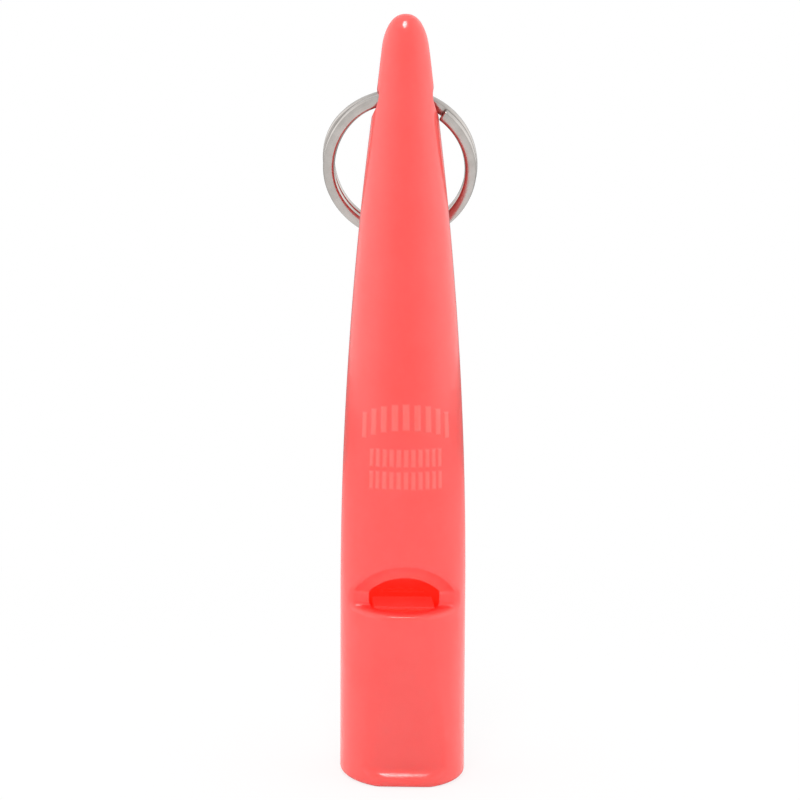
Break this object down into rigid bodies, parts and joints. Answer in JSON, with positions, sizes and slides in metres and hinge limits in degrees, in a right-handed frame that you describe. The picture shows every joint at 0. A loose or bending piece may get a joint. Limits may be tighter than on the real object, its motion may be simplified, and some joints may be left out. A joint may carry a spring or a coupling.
{
  "type": "training whistle",
  "caption": "Pealess dog-training whistle with a tapered moulded body, a sound window, a bite lip at the mouth end, and a split ring through the tail for a lanyard.",
  "frame": {"origin": "centre of the flat mouth end", "axes": "+Z along the whistle towards the tail tip, -Y through the sound window, X along the cross hole for the ring"},
  "size_m": [0.0164, 0.0143, 0.08],
  "materials": {
    "coral_plastic": "glossy, slightly translucent",
    "ring_steel": "plated, lightly satin"
  },
  "bodies": {
    "whistle": {"whistle_body": "coral_plastic", "windway_plug": "coral_plastic"},
    "ring": {"split_ring": "ring_steel"}
  },
  "joints": [
    {"name": "ring_swing", "type": "hinge", "parent": "whistle", "child": "ring", "pos_m": [0, 0, 0.07115], "axis": [1, 0, 0], "range_deg": [0, 308]}
  ]
}
